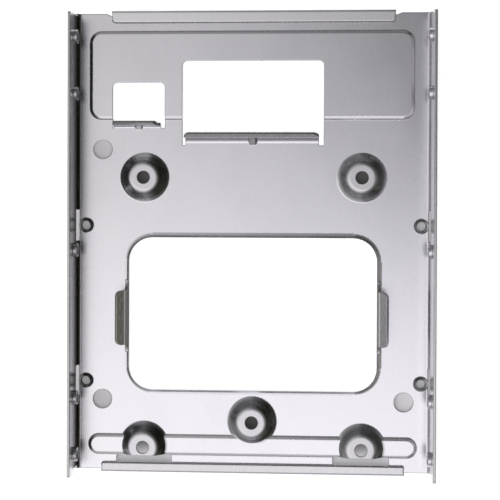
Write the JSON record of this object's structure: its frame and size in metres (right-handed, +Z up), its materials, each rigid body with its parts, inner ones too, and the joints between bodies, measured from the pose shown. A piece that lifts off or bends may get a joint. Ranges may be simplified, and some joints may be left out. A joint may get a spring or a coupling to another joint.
{
  "type": "drive bay adapter bracket",
  "caption": "Folded sheet-steel tray with side flanges, raised bosses, guide tabs and a large central opening, for fitting a small drive into a larger drive bay.",
  "frame": {"origin": "centre of the bounding box on the underside of the base plate", "axes": "+X across the bay to the right, +Y along the bay towards the windows, +Z up from the base the way the flanges rise"},
  "size_m": [0.1016, 0.1318, 0.012],
  "materials": {
    "galvanised_steel": "galvanised sheet, fine rolled grain, semi-matt"
  },
  "bodies": {
    "root": {"bracket": "galvanised_steel"}
  },
  "joints": []
}
